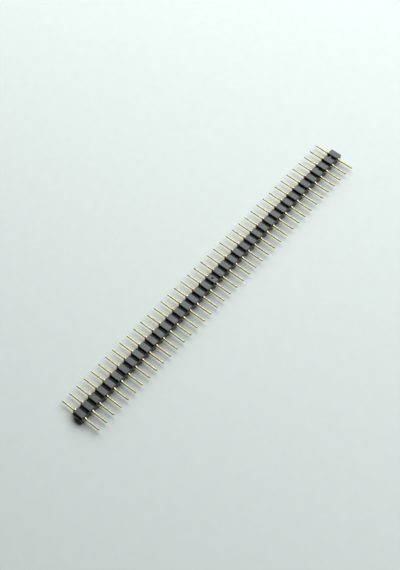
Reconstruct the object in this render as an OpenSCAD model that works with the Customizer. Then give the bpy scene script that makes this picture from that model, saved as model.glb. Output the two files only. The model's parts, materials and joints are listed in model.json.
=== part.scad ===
// Single-row header strip of turned round pins, male to male, lying on its side.
// X runs along the row, Y along the pins, Z up. The origin is under the middle of the row,
// on the plane of the lands that it lies on. Lengths are in millimetres.

/* [Row] */
// Number of pins, each with its own break-off position
pin_count = 40; // [2:1:55]
// Distance between neighbouring pins, and so the width of one position
pitch = 2.54; // [2.3:0.01:5.08]

/* [Insulator] */
// Length of the insulator along the pins
body_depth = 2.8; // [2.2:0.1:6]
// Thickness of the insulator across the row, from land to land
body_thick = 2.54; // [2.2:0.02:4]
// Width of a break-off notch where it opens on the lands
notch_w = 1.08; // [0.4:0.02:1.4]
// Depth of a break-off notch below the land
notch_depth = 0.52; // [0.1:0.02:0.8]
// Width of the flat at the bottom of a notch
notch_floor_w = 0.06; // [0.02:0.01:0.2]
// Diameter of the moulding gate's pit on the middle land
gate_d = 0.5; // [0.2:0.05:0.8]
// Depth of the gate's pit
gate_depth = 0.25; // [0.05:0.05:0.3]

/* [Pins] */
// Diameter of the slim ends of a pin
pin_d = 0.5; // [0.3:0.02:0.8]
// Free length of a pin beyond the flange side of the insulator
flange_side_len = 4.6; // [2.5:0.1:12]
// Free length of a pin beyond the tail side of the insulator
tail_side_len = 4.6; // [2.5:0.1:12]
// Length of the turned chamfer at each end of a pin
tip_len = 0.12; // [0.04:0.02:0.3]
// Diameter of the flat that is left on the end of a pin
tip_flat_d = 0.26; // [0.1:0.02:0.28]

/* [Shoulders and barrel] */
// Diameter of the barrel that fills the bore
barrel_d = 1.2; // [0.9:0.02:1.44]
// How far the flange stands out beyond the barrel, all round
flange_rim = 0.1; // [0.08:0.01:0.3]
// Height of the flange above the insulator
flange_h = 0.5; // [0.1:0.05:1]
// Chamfer that breaks the flange's outer edge
flange_chamfer = 0.04; // [0.02:0.01:0.08]
// Length of the cone between the flange and the slim end
flange_cone_len = 0.35; // [0.1:0.05:1]
// How far the barrel stands out of the insulator on the tail side
tail_stub_len = 0.1; // [0.05:0.05:0.5]
// Length of the cone between the barrel and the slim end on the tail side
tail_cone_len = 0.6; // [0.1:0.05:1]
// How far the retaining ring stands out of the barrel
ring_rise = 0.08; // [0.02:0.01:0.15]
// Length of the retaining ring along the pin
ring_len = 0.5; // [0.2:0.05:0.8]
// Distance of the retaining ring's shoulder from the tail side of the insulator
ring_from_tail = 0.9; // [0.6:0.05:1.2]
// Gap all round between a pin and its bore
seat_gap = 0.02; // [0.01:0.01:0.05]

/* [Hidden] */
// Sides of a drawn circle
round_sides = 64;
// Cuts run past the solid that they open by this much
past = 1;
// Height of the pins' axes, halfway between the lands
axis_z = body_thick / 2;
// Distance of the insulator's two faces from the middle of the row
face_y = body_depth / 2;
// Width of the land that is left between two notches
land_w = pitch - notch_w;
// Position, counted from 0, whose land has the gate's pit
gate_at = floor((pin_count - 1) / 2);

function pin_x(i) = (i - (pin_count - 1) / 2) * pitch;
function pin_name(i) = str("pin_", i < 9 ? "0" : "", i + 1);

// Half of a pin's outline as [radius, distance along the pin], from the tail tip to the flange-side tip.
// grow adds the seat's gap to the stretch inside the insulator.
function ring_outline(grow = 0) = let (
        r = barrel_d / 2 + grow,
        top = r + ring_rise,
        step_y = -face_y + ring_from_tail - grow
    ) [[r, step_y], [top, step_y], [r, step_y + ring_len + 2 * grow]];

function pin_outline() = let (
        r = pin_d / 2,
        barrel_r = barrel_d / 2,
        flange_r = barrel_r + flange_rim,
        tail_y = -face_y - tail_side_len,
        stub_y = -face_y - tail_stub_len,
        flange_y = face_y + flange_h,
        end_y = face_y + flange_side_len
    ) concat(
        [[0, tail_y], [tip_flat_d / 2, tail_y], [r, tail_y + tip_len]],
        [[r, stub_y - tail_cone_len], [barrel_r, stub_y]],
        ring_outline(),
        [[barrel_r, face_y], [flange_r, face_y]],
        [[flange_r, flange_y - flange_chamfer], [flange_r - flange_chamfer, flange_y]],
        [[r, flange_y + flange_cone_len], [r, end_y - tip_len]],
        [[tip_flat_d / 2, end_y], [0, end_y]]
    );

function bore_outline() = let (
        r = barrel_d / 2 + seat_gap
    ) concat(
        [[0, -face_y - past], [r, -face_y - past]],
        ring_outline(seat_gap),
        [[r, face_y + past], [0, face_y + past]]
    );

// Turns an outline about the Y axis at the height of the pins.
module turned(outline) {
    translate([0, 0, axis_z]) rotate([-90, 0, 0])
        rotate_extrude($fn = round_sides) polygon(outline);
}

// End view of one position: a land above and below, and half a notch on each side.
module position_outline() {
    w = pitch / 2;
    l = land_w / 2;
    f = notch_floor_w / 2;
    t = body_thick / 2;
    n = t - notch_depth;
    polygon([
        [-w, -n], [-w + f, -n], [-l, -t], [l, -t], [w - f, -n], [w, -n],
        [w, n], [w - f, n], [l, t], [-l, t], [-w + f, n], [-w, n]
    ]);
}

// The moulded strip, with a bore for each pin.
module insulator() {
    color([0.06, 0.06, 0.065]) difference() {
        translate([0, face_y, axis_z]) rotate([90, 0, 0]) linear_extrude(body_depth)
            for (i = [0 : pin_count - 1]) translate([pin_x(i), 0]) position_outline();
        for (i = [0 : pin_count - 1]) translate([pin_x(i), 0, 0]) turned(bore_outline());
        translate([pin_x(gate_at), 0, body_thick - gate_depth])
            cylinder(d = gate_d, h = gate_depth + past, $fn = round_sides);
    }
}

// One turned pin, slim at both ends, with its flange on the insulator's +Y face.
module pin(i) {
    color([0.86, 0.72, 0.4]) translate([pin_x(i), 0, 0]) turned(pin_outline());
}

insulator();
for (i = [0 : pin_count - 1]) pin(i);
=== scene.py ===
# %% [markdown]
# # A turned-pin header strip, lying on its side
# The object is a row of forty slim gold pins through one black plastic moulding. It is small:
# about 100 mm long and 2.5 mm thick, so most details here are a tenth of a millimetre or less.
#
# Blender works in metres, while a maker of such parts thinks in millimetres. One factor, `MM`,
# turns the one into the other, and every size below is written in millimetres. The imported part
# is loaded first, because it says where everything is. Its box is kept, and its size is printed.

# %% Load the imported part
import json
import math
import random

import bpy
from mathutils import Matrix, Vector

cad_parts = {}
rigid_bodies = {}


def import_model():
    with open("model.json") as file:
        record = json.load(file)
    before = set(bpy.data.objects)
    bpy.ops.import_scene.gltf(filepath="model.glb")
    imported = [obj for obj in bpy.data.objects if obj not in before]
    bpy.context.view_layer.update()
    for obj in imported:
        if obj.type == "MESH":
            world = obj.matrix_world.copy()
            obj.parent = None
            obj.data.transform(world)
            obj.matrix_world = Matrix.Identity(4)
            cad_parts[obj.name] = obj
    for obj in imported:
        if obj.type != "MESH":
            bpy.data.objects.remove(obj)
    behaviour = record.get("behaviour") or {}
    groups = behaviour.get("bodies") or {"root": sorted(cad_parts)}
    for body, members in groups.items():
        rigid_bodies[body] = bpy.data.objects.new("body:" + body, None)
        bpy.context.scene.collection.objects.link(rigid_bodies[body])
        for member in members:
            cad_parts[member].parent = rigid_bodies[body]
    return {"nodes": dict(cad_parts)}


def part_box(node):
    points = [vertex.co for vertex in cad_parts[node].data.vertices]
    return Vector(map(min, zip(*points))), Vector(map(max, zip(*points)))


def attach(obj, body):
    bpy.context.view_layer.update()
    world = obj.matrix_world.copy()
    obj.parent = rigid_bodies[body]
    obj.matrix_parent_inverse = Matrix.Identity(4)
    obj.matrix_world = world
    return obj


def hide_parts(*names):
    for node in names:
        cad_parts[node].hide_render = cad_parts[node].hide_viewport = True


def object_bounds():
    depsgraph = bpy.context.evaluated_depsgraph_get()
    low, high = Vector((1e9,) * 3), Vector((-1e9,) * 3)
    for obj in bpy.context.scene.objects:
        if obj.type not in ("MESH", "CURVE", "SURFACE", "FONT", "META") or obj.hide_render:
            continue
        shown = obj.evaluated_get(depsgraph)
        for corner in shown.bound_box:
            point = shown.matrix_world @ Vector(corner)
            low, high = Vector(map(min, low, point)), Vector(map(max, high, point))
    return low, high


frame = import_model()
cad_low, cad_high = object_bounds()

MM = 0.001
print("packed box in mm:", [round(side / MM, 3) for side in cad_high - cad_low])

# %% [markdown]
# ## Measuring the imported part
# A size that is typed twice will one day differ, so we type as little as we can of what the
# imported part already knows. Its pieces are plain meshes, and their points tell where each
# pin's axis runs, to what outline it was turned, how wide the notches are and where the
# moulding's gate was. The points are copied into millimetres for this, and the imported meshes
# stay as they are.

# %% Helper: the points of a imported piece
def packed_points(node):
    return [point.co / MM for point in bpy.data.objects[node].data.vertices]

body_low, body_high = (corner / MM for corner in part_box("insulator"))
TAIL_FACE, FLANGE_FACE = body_low.y, body_high.y
AXIS_Z = (body_low.z + body_high.z) / 2
print("moulding from", [round(c, 2) for c in body_low], "to", [round(c, 2) for c in body_high])

# %% Where the pins are
pin_names = sorted(name for name in frame["nodes"] if name.startswith("pin_"))

def middle_x(node):
    low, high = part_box(node)
    return (low.x + high.x) / 2 / MM

pin_xs = [middle_x(name) for name in pin_names]
PITCH = pin_xs[1] - pin_xs[0]
print(len(pin_names), "pins, pitch", round(PITCH, 3), "mm, axes", round(AXIS_Z, 3), "mm high")

# %% [markdown]
# ## Reading a pin's outline
# One line describes a turned part: its outline, swept once round an axis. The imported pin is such
# a shape, so the rings of points in its mesh are that line's corners. We collect each ring as
# (radius, distance along the pin), walk over them from one end of the pin to the other, and
# drop the rings that only lie on a straight stretch between two corners.

# %% Read the corners of the outline
STRAIGHT = 0.002

def turned_corners(node, x):
    rings = {(round(math.hypot(p.x - x, p.z - AXIS_Z), 3), round(p.y, 3))
             for p in packed_points(node)}
    walk = [min(rings, key=lambda ring: ring[1])]
    rings.remove(walk[0])
    while rings:
        walk.append(min(rings, key=lambda ring: (ring[1], abs(ring[0] - walk[-1][0]))))
        rings.remove(walk[-1])
    corners = [Vector(walk[0])]
    for here, ahead in zip(walk[1:], walk[2:]):
        line = (Vector(ahead) - corners[-1]).normalized()
        off_line = abs(line.cross(Vector(here) - corners[-1]))
        if off_line > STRAIGHT:
            corners.append(Vector(here))
    return corners + [Vector(walk[-1])]

pin_corners = turned_corners(pin_names[0], pin_xs[0])
BARREL_R = next(r for r, y in pin_corners if y > TAIL_FACE)
TAIL_END, FLANGE_END = pin_corners[0].y, pin_corners[-1].y
print("outline corners (radius, y):", [(round(r, 2), round(y, 2)) for r, y in pin_corners])

# %% [markdown]
# ## Round the corners as a lathe does
# No edge on a turned pin is perfectly sharp. The tip of the turning tool is a little round and
# leaves a fillet in each inside corner, and the pins are tumbled before they are plated, which
# takes the bite off each outside edge. At this size those fillets are what catches the light,
# so they are made as real geometry. A Bevel modifier could do it, but it would treat all edges
# alike. Here each corner becomes a short arc with a radius of its own, in the outline itself. An
# arc takes at most `SIDE_SHARE` of the straight stretch on either side of it, so that two arcs
# never run into each other.

# %% Helper: round the corners of an outline
EDGE_BREAK = 0.03
TOOL_NOSE = 0.12
ARC_STEPS = 3
SIDE_SHARE = 0.4

def rounded(corners):
    points = [corners[0]]
    for before, corner, after in zip(corners, corners[1:], corners[2:]):
        back, ahead = before - corner, after - corner
        half = back.angle(ahead) / 2
        inside_corner = (corner - before).cross(ahead) < 0
        fillet = TOOL_NOSE if inside_corner else EDGE_BREAK
        reach = min(fillet / math.tan(half), SIDE_SHARE * back.length, SIDE_SHARE * ahead.length)
        inward = (back.normalized() + ahead.normalized()).normalized()
        centre = corner + inward * reach / math.cos(half)
        start = corner + back.normalized() * reach - centre
        stop = corner + ahead.normalized() * reach - centre
        points += [centre + start.length * start.slerp(stop, step / ARC_STEPS)
                   for step in range(ARC_STEPS + 1)]
    return points + [corners[-1]]

on_axis = [Vector((0, end)) for end in (TAIL_END, FLANGE_END)]
pin_outline = rounded([on_axis[0], *pin_corners, on_axis[1]])
print("corners:", len(pin_corners), " points after rounding:", len(pin_outline))

# %% [markdown]
# ## The turned pins
# A real pin is cut from brass bar on a small automatic lathe: two slim ends, a flange that stops
# it at the plastic, a cone on the tail side, and a hidden ring that grips the bore. The outline
# is already there, so the way to make the mesh is the way the real one is made: sweep the
# outline round the axis. A Screw modifier would do the same, but building the rings in code
# keeps the faces in order and lets both ends close in a neat fan. The cylinders are long and
# the fillets short, so a Weighted Normal modifier lets the long faces decide the shading.
# Otherwise each fillet would tint the whole cylinder next to it.

# %% Helper: turn points and faces into an object
def solid(name, points, faces, smooth_angle=None):
    mesh = bpy.data.meshes.new(name)
    mesh.from_pydata([Vector(p) * MM for p in points], [], faces)
    mesh.update()
    made = bpy.data.objects.new(name, mesh)
    bpy.context.scene.collection.objects.link(made)
    if smooth_angle is not None:
        mesh.shade_smooth()
        mesh.set_sharp_from_angle(angle=math.radians(smooth_angle))
        made.modifiers.new("even shading", "WEIGHTED_NORMAL").keep_sharp = True
    return made

# %% Helper: sweep an outline round the axis at x
TURNS = 64
SMOOTH_ANGLE = 40

def turned(name, outline, x, turns=TURNS):
    points, faces, rings = [], [], []
    for radius, y in outline:
        count = turns if radius else 1
        rings.append([len(points) + k for k in range(count)])
        for k in range(count):
            angle = math.tau * k / turns
            points.append((x + radius * math.sin(angle), y, AXIS_Z + radius * math.cos(angle)))
    for ring, next_ring in zip(rings, rings[1:]):
        for k in range(turns):
            k2 = (k + 1) % turns
            corners = (ring[k % len(ring)], ring[k2 % len(ring)],
                       next_ring[k2 % len(next_ring)], next_ring[k % len(next_ring)])
            faces.append(tuple(dict.fromkeys(corners)))
    return solid(name, points, faces, SMOOTH_ANGLE)

# %% [markdown]
# ## The finish of the pins
# The pins are brass with a thin gold plating. Three things make such metal look real at close
# range: the gold is not one colour but drifts a little between paler and deeper, the lathe has
# left fine rings round the pin, and handling has dulled it unevenly. An image texture would
# need a picture and an unwrap for every pin. Noise and wave textures need neither, because
# they read the point's own place in space, and as every pin is at its own place, no two
# pins come out quite alike.

# %% Helpers: start a finish and drive it from textures
def new_finish(name, colour, metallic, roughness):
    finish = bpy.data.materials.new(name)
    finish.use_nodes = True
    shader = finish.node_tree.nodes["Principled BSDF"]
    shader.inputs["Base Color"].default_value = (*colour, 1)
    shader.inputs["Metallic"].default_value = metallic
    shader.inputs["Roughness"].default_value = roughness
    return finish, shader

def add_node(finish, kind, settings=None, **inputs):
    node = finish.node_tree.nodes.new(kind)
    for setting, value in (settings or {}).items():
        setattr(node, setting, value)
    for socket, value in inputs.items():
        socket = node.inputs[socket.replace("_", " ")]
        if isinstance(value, bpy.types.NodeSocket):
            finish.node_tree.links.new(value, socket)
        else:
            socket.default_value = value
    return node

# %% Helper: noise whose grains measure so many millimetres along x, y and z
def grain(finish, size, detail=2.0, contrast=(0.35, 0.65), result=(0.0, 1.0)):
    place = add_node(finish, "ShaderNodeTexCoord").outputs["Object"]
    per_grain = [1 / (side * MM) for side in size]
    stretch = add_node(finish, "ShaderNodeMapping", Vector=place, Scale=per_grain)
    noise = add_node(finish, "ShaderNodeTexNoise",
                     Vector=stretch.outputs["Vector"], Scale=1.0, Detail=detail)
    spread = add_node(finish, "ShaderNodeMapRange", Value=noise.outputs["Fac"])
    for socket, value in zip(("From Min", "From Max", "To Min", "To Max"), (*contrast, *result)):
        spread.inputs[socket].default_value = value
    return spread.outputs["Result"]

# %% Helper: mix two colours, and stack bumps
def mixed(finish, factor, one, other):
    mix = add_node(finish, "ShaderNodeMix", {"data_type": "RGBA"})
    mix.inputs["A"].default_value = (*one, 1)
    mix.inputs["B"].default_value = (*other, 1)
    finish.node_tree.links.new(factor, mix.inputs["Factor"])
    return mix.outputs["Result"]

# %% Gold plating
GROOVE_DEPTH = 0.0015
PALE_GOLD = (0.76, 0.67, 0.42)
DEEP_GOLD = (0.50, 0.42, 0.22)

def gold_plating():
    gold, shader = new_finish("gold_plating", PALE_GOLD, metallic=1.0, roughness=0.25)
    drift = grain(gold, size=(0.9, 0.35, 0.9))
    tone = mixed(gold, drift, PALE_GOLD, DEEP_GOLD)
    handled = grain(gold, size=(0.5, 0.8, 0.5), result=(0.06, 0.15))
    place = add_node(gold, "ShaderNodeTexCoord").outputs["Object"]
    rings = add_node(gold, "ShaderNodeTexWave", {"bands_direction": "Y"},
                     Vector=place, Scale=5200, Distortion=1.5, Detail=1.0)
    tool_marks = add_node(gold, "ShaderNodeBump",
                          Strength=0.12, Distance=GROOVE_DEPTH * MM, Height=rings.outputs["Fac"])
    gold.node_tree.links.new(tone, shader.inputs["Base Color"])
    gold.node_tree.links.new(handled, shader.inputs["Roughness"])
    gold.node_tree.links.new(tool_marks.outputs["Normal"], shader.inputs["Normal"])
    return gold

gold = gold_plating()
print(gold.name, "has", len(gold.node_tree.nodes), "nodes")

# %% Make the forty pins
def make_pin(node, x):
    pin = turned("turned_" + node, pin_outline, x)
    pin.data.materials.append(gold)
    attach(pin, "root")
    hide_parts(node)
    return pin

pins = [make_pin(node, x) for node, x in zip(pin_names, pin_xs)]
print(len(pins), "pins with", len(pins[0].data.polygons), "faces each")

# %% [markdown]
# ## The black moulding
# The body is one injection moulding. Seen from its end it is a square with a V-shaped notch
# above and below at each place where the strip may be broken. Forty such squares in a row make
# one long outline, and pushing that outline through the depth of the body makes the solid.
# Modelling one position and repeating it with an Array modifier would also do, but it would
# leave a wall inside the strip at each joint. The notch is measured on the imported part. Two
# heights that differ by less than `TINY`, a micrometre, count as the same there.

# %% Measure a notch
TINY = 0.001

first_x = pin_xs[0]
in_first = [p for p in packed_points("insulator") if p.x < first_x + PITCH / 2 - TINY]
NOTCH_Z = max(p.z for p in in_first if p.z < body_high.z - TINY)
LAND_W = 2 * max(p.x - first_x for p in in_first if p.z > body_high.z - TINY)
notch_edge = max(p.x - first_x for p in in_first if abs(p.z - NOTCH_Z) < TINY)
NOTCH_FLOOR_W = PITCH - 2 * notch_edge
print("land", round(LAND_W, 2), "mm wide, notch", round(body_high.z - NOTCH_Z, 2), "mm deep,",
      "flat at its bottom", round(NOTCH_FLOOR_W, 2), "mm")

# %% Push the end view through the depth of the body
def upper_edge(x):
    """One position's upper edge from -X to +X, as (x, z)."""
    half, land, floor = PITCH / 2, LAND_W / 2, NOTCH_FLOOR_W / 2
    return [(x - half, NOTCH_Z), (x - half + floor, NOTCH_Z),
            (x - land, body_high.z), (x + land, body_high.z), (x + half - floor, NOTCH_Z)]

def extruded_row():
    upper = [corner for x in pin_xs for corner in upper_edge(x)] + [(body_high.x, NOTCH_Z)]
    lower = [(x, body_low.z + body_high.z - z) for x, z in reversed(upper)]
    loop = upper + lower
    count = len(loop)
    points = [(x, y, z) for y in (TAIL_FACE, FLANGE_FACE) for x, z in loop]
    faces = [tuple(range(count)), tuple(range(2 * count - 1, count - 1, -1))]
    faces += [(k, k + count, (k + 1) % count + count, (k + 1) % count) for k in range(count)]
    return solid("strip_moulding", points, faces)

strip = extruded_row()
print(strip.name, "has", len(strip.data.polygons), "faces before the bores are cut")

# %% [markdown]
# ## Bores and the gate's pit
# Each pin is pressed into a bore, and where the plastic flowed into the mould there is a small
# round pit, on one land near the middle. Both are cuts, so both are made with a Boolean
# modifier: a tool shape is subtracted from the body. The bore's tool is the pin's own outline
# between the two faces, a little fatter, so that bore and pin fit along their whole length.
# All the tools are gathered in one collection, which makes one cut out of forty-one.

# %% Shape the cutting tools
SEAT_GAP = 0.02
PAST = 0.5
BORE_R = BARREL_R + SEAT_GAP
within = [(r + SEAT_GAP, y) for r, y in pin_corners if TAIL_FACE < y < FLANGE_FACE - TINY]
bore_outline = [(0, TAIL_FACE - PAST), (BORE_R, TAIL_FACE - PAST), *within,
                (BORE_R, FLANGE_FACE + PAST), (0, FLANGE_FACE + PAST)]
pit = [p for p in packed_points("insulator") if NOTCH_Z + TINY < p.z < body_high.z - TINY]
pit_middle = sum(pit, Vector()) / len(pit)
PIT_R = max((p - pit_middle).length for p in pit)
pit_depth = body_high.z - pit_middle.z
print("gate pit at", [round(c, 2) for c in pit_middle], "radius", round(PIT_R, 2),
      "depth", round(pit_depth, 2))

def bore_tool(x):
    return turned("bore_tool", bore_outline, x)

def pit_tool():
    outline = [(0, -pit_depth), (PIT_R, -pit_depth), (PIT_R, PAST), (0, PAST)]
    tool = turned("pit_tool", outline, 0)
    upright = Matrix.Rotation(math.radians(90), 4, "X") @ Matrix.Translation((0, 0, -AXIS_Z * MM))
    mouth = Vector((pit_middle.x, pit_middle.y, body_high.z)) * MM
    tool.data.transform(Matrix.Translation(mouth) @ upright)
    return tool

tools = bpy.data.collections.new("cutting_tools")
for tool in [bore_tool(x) for x in pin_xs] + [pit_tool()]:
    bpy.context.scene.collection.objects.unlink(tool)
    tools.objects.link(tool)
bpy.context.scene.collection.children.link(tools)

# %% Cut, and keep only the result
def settled(obj):
    """Turn what the modifiers make of an object into its own mesh."""
    shaped = obj.evaluated_get(bpy.context.evaluated_depsgraph_get())
    mesh = bpy.data.meshes.new_from_object(shaped)
    obj.modifiers.clear()
    obj.data = mesh
    return mesh

cut = strip.modifiers.new("bores and pit", "BOOLEAN")
cut.operand_type = "COLLECTION"
cut.collection = tools
cut.solver = "EXACT"
settled(strip)
for tool in list(tools.objects):
    bpy.data.objects.remove(tool)
bpy.data.collections.remove(tools)
print(strip.name, "has", len(strip.data.polygons), "faces after the cut")

# %% [markdown]
# ## The finish of the moulding
# The body is black, glass-filled plastic. It isn't quite flat black: the mould's surface gives
# it a fine grain, the glass in it makes the sheen a little uneven from one land to the next, and
# the flow of the plastic leaves very shallow waves. So the colour hardly changes, and the
# roughness and the bumps carry the look. Three sizes of noise do that: grains of 0.04 mm,
# waves of about a millimetre, and patches as long as two or three positions. The same recipe,
# with other numbers, gives the rubbed edges and the torn gate of the next step.

# %% Helper: a black plastic
WAVE_DEPTH = 0.006
GRAIN_DEPTH = 0.002

def black_plastic(name, colour, fleck, dullness, shine=0.90):
    plastic, shader = new_finish(name, colour, metallic=0.0, roughness=dullness[0])
    shader.inputs["Specular IOR Level"].default_value = shine
    flecks = grain(plastic, size=(0.25, 0.12, 0.25), contrast=(0.5, 0.75))
    tone = mixed(plastic, flecks, colour, fleck)
    sheen = grain(plastic, size=(6.0, 2.5, 3.0), detail=4.0, result=dullness)
    waves = grain(plastic, size=(0.9, 1.4, 0.9), detail=1.0)
    texture = grain(plastic, size=(0.04, 0.04, 0.04), detail=1.0)
    wavy = add_node(plastic, "ShaderNodeBump", Strength=0.5, Distance=WAVE_DEPTH * MM, Height=waves)
    grainy = add_node(plastic, "ShaderNodeBump", Strength=0.35, Distance=GRAIN_DEPTH * MM,
                      Height=texture, Normal=wavy.outputs["Normal"])
    plastic.node_tree.links.new(tone, shader.inputs["Base Color"])
    plastic.node_tree.links.new(sheen, shader.inputs["Roughness"])
    plastic.node_tree.links.new(grainy.outputs["Normal"], shader.inputs["Normal"])
    return plastic

# %% Black plastic as moulded, rubbed and torn
moulded = black_plastic("black_moulding", colour=(0.002, 0.002, 0.0022),
                        fleck=(0.006, 0.006, 0.006), dullness=(0.18, 0.32))
rubbed = black_plastic("rubbed_edge", colour=(0.003, 0.003, 0.003),
                       fleck=(0.012, 0.012, 0.012), dullness=(0.30, 0.45))
torn = black_plastic("torn_gate", colour=(0.001, 0.001, 0.001),
                     fleck=(0.004, 0.004, 0.004), dullness=(0.60, 0.80), shine=0.2)
print("finishes:", moulded.name, rubbed.name, torn.name)

# %% [markdown]
# ## Soft edges
# A mould can't make a knife edge, and edges are where plastic gets rubbed first. A Bevel modifier
# rounds every edge that turns by more than 30 degrees. It can also give the narrow new faces
# a material of their own, which is an easy way to put wear on the edges and nowhere else.
# That second material is the same plastic, a little greyer and duller. The gate's pit gets a
# third one. There the plastic was torn from what stayed in the mould, and a torn surface is
# rough, so it mirrors nothing and looks darker than the land round it. A texture could mask
# the pit, but its place is known already, so its faces are simply picked by where they lie.

# %% Bevel the edges
EDGE_WIDTH = 0.04
EDGE_ANGLE = 30
PIT_MARGIN = 0.01
RUBBED_SLOT, TORN_SLOT = 1, 2

for finish in (moulded, rubbed, torn):
    strip.data.materials.append(finish)
for face in strip.data.polygons:
    spot = face.center / MM - pit_middle
    if spot.xy.length < PIT_R and -PIT_MARGIN < spot.z < pit_depth - PIT_MARGIN:
        face.material_index = TORN_SLOT
soft_edges = strip.modifiers.new("soft edges", "BEVEL")
soft_edges.width = EDGE_WIDTH * MM
soft_edges.segments = 2
soft_edges.limit_method = "ANGLE"
soft_edges.angle_limit = math.radians(EDGE_ANGLE)
soft_edges.material = RUBBED_SLOT
settled(strip)
strip.data.shade_smooth()
strip.data.set_sharp_from_angle(angle=math.radians(SMOOTH_ANGLE))
strip.modifiers.new("even shading", "WEIGHTED_NORMAL").keep_sharp = True
slots = [face.material_index for face in strip.data.polygons]
print("moulding faces:", len(slots), " on soft edges:", slots.count(RUBBED_SLOT),
      " in the gate's pit:", slots.count(TORN_SLOT))

# %% Say what the moulding stands for
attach(strip, "root")
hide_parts("insulator")
print(strip.name, "rides on root and stands for the packed insulator")

# %% [markdown]
# ## Flash in two notches
# Where the halves of a worn mould don't quite close, plastic creeps between them and sets as a
# thin tongue called flash. This strip has two such tongues, level with the lands, in the
# notches after the 37th and the 39th position. They could be painted on as a light patch, but
# a patch would vanish when seen from the side. So each is a thin flake with a ragged edge. Its
# outline is half an oval whose radius is jittered by a seeded random number, so it comes out the
# same each time.

# %% Make the tongues of flash
FLASH_THICK = 0.05
FLASH_EDGE = 0.015
RIM_STEPS = 12
RAGGED = 0.16

def flash_tongue(name, position, y, length, reach, seed):
    dice = random.Random(seed)
    root_x = pin_xs[position - 1] + LAND_W / 2 - EDGE_WIDTH
    rim = []
    for k in range(RIM_STEPS + 1):
        angle = math.pi * (k / RIM_STEPS - 0.5)
        swell = 1 + dice.uniform(-RAGGED, RAGGED)
        rim.append((root_x + reach * math.cos(angle) * swell,
                    y + length / 2 * math.sin(angle) * swell))
    top = body_high.z - EDGE_WIDTH / 4
    points = [(x, y, z) for z in (top - FLASH_THICK, top) for x, y in rim]
    count = len(rim)
    faces = [tuple(range(count - 1, -1, -1)), tuple(range(count, 2 * count))]
    faces += [(k, (k + 1) % count, (k + 1) % count + count, k + count) for k in range(count)]
    tongue = solid(name, points, faces)
    edge = tongue.modifiers.new("soft edges", "BEVEL")
    edge.width = FLASH_EDGE * MM
    edge.segments = 2
    tongue.data.materials.append(moulded)
    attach(tongue, "root")
    return tongue

flash_tongue("flash_long", 39, 0.15, length=0.62, reach=0.62, seed=4)
flash_tongue("flash_short", 37, 0.55, length=0.50, reach=0.42, seed=9)
print("two tongues of flash,", FLASH_THICK, "mm thick")

# %% [markdown]
# ## The table
# The strip lies on a plain pale surface. A single large sheet is enough for it, and it is so
# large that its far edge stays out of sight in a low side view too. Real paper or laminate has a
# faint tooth, so its tone drifts a little and it is nearly matt.

# %% Lay the table
TABLE_HALF = 5000

table = solid("table", [(-TABLE_HALF, -TABLE_HALF, 0), (TABLE_HALF, -TABLE_HALF, 0),
                        (TABLE_HALF, TABLE_HALF, 0), (-TABLE_HALF, TABLE_HALF, 0)], [(0, 1, 2, 3)])
table.location.z = cad_low.z
paper, shader = new_finish("pale_paper", (0.80, 0.81, 0.80), metallic=0.0, roughness=0.8)
shader.inputs["Specular IOR Level"].default_value = 0.2
paper_tone = mixed(paper, grain(paper, size=(3, 3, 3), detail=3.0),
                   (0.795, 0.805, 0.795), (0.81, 0.82, 0.81))
paper.node_tree.links.new(paper_tone, shader.inputs["Base Color"])
table.data.materials.append(paper)
print("table top at", round(table.location.z / MM, 3), "mm")

# %% [markdown]
# ## The glow of the gold on the table
# Polished gold throws a faint warm glow on pale paper beside it, and here it shows most between
# the pins on the flange side, which faces the light. The light's own bounces in the render
# carry a part of it. The rest could come from many more bounces, but they cost time and bring
# noise, so the rest of that glow is painted into the paper's colour there, as a slight warm tint.
# Its strength is three fades multiplied: one towards the tips, one under the body and one past
# the ends of the row.

# %% Helpers: fade between two distances, and do sums with nodes
def faded(finish, value, full, gone):
    fade = add_node(finish, "ShaderNodeMapRange", {"interpolation_type": "SMOOTHSTEP"}, Value=value)
    ends = (full * MM, gone * MM, 1, 0)
    for socket, end in zip(("From Min", "From Max", "To Min", "To Max"), ends):
        fade.inputs[socket].default_value = end
    return fade.outputs["Result"]

def sums(finish, operation, *values):
    node = add_node(finish, "ShaderNodeMath", {"operation": operation})
    for socket, value in zip(node.inputs, values):
        finish.node_tree.links.new(value, socket)
    return node.outputs["Value"]

# %% Paint the gold's glow on the paper between the pins
# The warm tint is painted light: the glow thrown by the gold, multiplied into the paper's colour.
PAINTED_GLOW_TINT = (1.05, 0.98, 0.90)
NEAR_FLANGE, PAST_TIP, PAST_ROW = 0.6, 0.3, 1.2

place = add_node(paper, "ShaderNodeTexCoord").outputs["Object"]
along = add_node(paper, "ShaderNodeSeparateXYZ", Vector=place).outputs
outward = faded(paper, along["Y"], full=FLANGE_FACE + NEAR_FLANGE, gone=FLANGE_END + PAST_TIP)
inward = faded(paper, along["Y"], full=FLANGE_FACE, gone=0)
endward = faded(paper, sums(paper, "ABSOLUTE", along["X"]),
                full=body_high.x, gone=body_high.x + PAST_ROW)
glow = sums(paper, "MULTIPLY", sums(paper, "MULTIPLY", outward, inward), endward)
glow_painted_paper = add_node(paper, "ShaderNodeMix", {"data_type": "RGBA", "blend_type": "MULTIPLY"})
glow_painted_paper.inputs["B"].default_value = (*PAINTED_GLOW_TINT, 1)
paper.node_tree.links.new(paper_tone, glow_painted_paper.inputs["A"])
paper.node_tree.links.new(glow, glow_painted_paper.inputs["Factor"])
paper.node_tree.links.new(glow_painted_paper.outputs["Result"], shader.inputs["Base Color"])
print("warm paper from the flanges to", round(FLANGE_END + PAST_TIP, 1), "mm from the row's middle")

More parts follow.
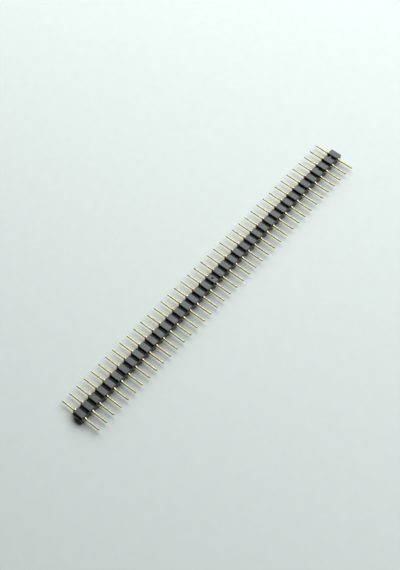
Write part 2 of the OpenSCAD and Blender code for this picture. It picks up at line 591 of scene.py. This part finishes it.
# %% [markdown]
# ## The table far away
# In a low view the table runs on towards the horizon, far beyond the lamp's reach, and there it
# would turn black. More light would spoil the strip, and a painted backdrop would hide its
# shadow. Instead the far table shows an even pale tone. The Light Path node tells what kind of
# ray asks for the colour: the camera's, and those that mirror in metal, see that tone, while
# the rays that carry light from place to place don't, so it lights nothing.

# %% Let the far table look evenly pale
FAR_FROM, FAR_FULL = 118, 340
FAR_TONE = (0.72, 0.78, 0.765)

asked = add_node(paper, "ShaderNodeLightPath").outputs
seen = sums(paper, "MAXIMUM", asked["Is Camera Ray"], asked["Is Glossy Ray"])
seen = sums(paper, "MAXIMUM", seen, asked["Is Transmission Ray"])
away = add_node(paper, "ShaderNodeVectorMath", {"operation": "LENGTH"}, Vector=place)
far = faded(paper, away.outputs["Value"], full=FAR_FULL, gone=FAR_FROM)
even = add_node(paper, "ShaderNodeEmission", Color=(*FAR_TONE, 1))
blend = add_node(paper, "ShaderNodeMixShader", Fac=sums(paper, "MULTIPLY", seen, far))
paper.node_tree.links.new(shader.outputs["BSDF"], blend.inputs[1])
paper.node_tree.links.new(even.outputs["Emission"], blend.inputs[2])
surface = paper.node_tree.nodes["Material Output"].inputs["Surface"]
paper.node_tree.links.new(blend.outputs["Shader"], surface)
print("the even tone fades in from", FAR_FROM, "to", FAR_FULL, "mm from the strip's middle")

# %% [markdown]
# ## The light
# One large softbox hangs over the strip, off to the side of the row's far end (+X) and a little
# to the flange side. Its size matters more than its power: it is large enough for the lands and
# one flank of each pin to mirror it, and for the shadows to have soft borders. A rectangular
# area lamp does this. It is described here as it would be planned in a studio: from which
# direction it comes, and how many degrees it spans to each side, seen from the object. The
# lamp's power then follows from how bright its face has to look.

# %% Hang the softbox
LAMP_COLOUR = (0.92, 1.0, 0.985)

def softbox(name, direction, distance, half_x, half_y, brightness):
    toward = Vector(direction).normalized()
    along_x = (Vector((1, 0, 0)) - toward.x * toward).normalized()
    along_y = toward.cross(along_x)
    lamp = bpy.data.lights.new(name, "AREA")
    lamp.shape = "RECTANGLE"
    lamp.size = 2 * distance * MM * math.tan(math.radians(half_x))
    lamp.size_y = 2 * distance * MM * math.tan(math.radians(half_y))
    lamp.energy = brightness * math.pi * lamp.size * lamp.size_y
    lamp.color = LAMP_COLOUR
    holder = bpy.data.objects.new(name, lamp)
    turn = Matrix((along_x, along_y, toward)).transposed().to_4x4()
    holder.matrix_world = Matrix.Translation(toward * distance * MM) @ turn
    bpy.context.scene.collection.objects.link(holder)
    print(name, "is", round(lamp.size / MM), "by", round(lamp.size_y / MM), "mm and gives",
          round(lamp.energy, 2), "W")

softbox("softbox", direction=(0.55, 0.25, 0.80), distance=340,
        half_x=28, half_y=55, brightness=2.80)

# %% [markdown]
# ## The room
# A room is never quite black, and its walls fill the shadows a little. Walls of our own would do
# that, but they would also stand in the way in other views. The world's background gives the
# same even light from everywhere. It is faint and slightly blue, so that the softbox stays in
# charge and the notches stay deep.

# %% Leave the room dim
ROOM_COLOUR = (0.9, 0.97, 1.0)
ROOM_STRENGTH = 0.03

room = bpy.data.worlds.new("room")
bpy.context.scene.world = room
room.use_nodes = True
room_light = room.node_tree.nodes["Background"]
room_light.inputs["Color"].default_value = (*ROOM_COLOUR, 1)
room_light.inputs["Strength"].default_value = ROOM_STRENGTH
print("room brightness", ROOM_STRENGTH)

# %% [markdown]
# ## The camera
# The camera looks down on the strip from the tail side with the row running from lower left to
# upper right. Three things fix a camera: where its eye is, what it looks at and which way is up
# in the picture. From these we build its three axes ourselves, because the camera is also
# rolled, which a Track To constraint would not allow.

# %% Set up the camera
EYE = Vector((-125.70, -102.71, 258.80))
AIM = Vector((-4.155, 1.570, 1.294))
UPWARD = Vector((0.65331, 0.54264, 0.52795))
LENS, SENSOR = 76.73, 36
NEAREST, FARTHEST = 10, 50000

forward = (AIM - EYE).normalized()
sideways = forward.cross(UPWARD).normalized()
level_up = sideways.cross(forward)
lens = bpy.data.cameras.new("camera")
lens.sensor_width = SENSOR
lens.lens = LENS
lens.clip_start, lens.clip_end = NEAREST * MM, FARTHEST * MM
camera = bpy.data.objects.new("camera", lens)
axes = Matrix((sideways, level_up, -forward)).transposed().to_4x4()
camera.matrix_world = Matrix.Translation(EYE * MM) @ axes
bpy.context.scene.collection.objects.link(camera)
bpy.context.scene.camera = camera
bpy.context.scene.view_settings.view_transform = "Standard"
print("camera", round((EYE - AIM).length), "mm from the strip")
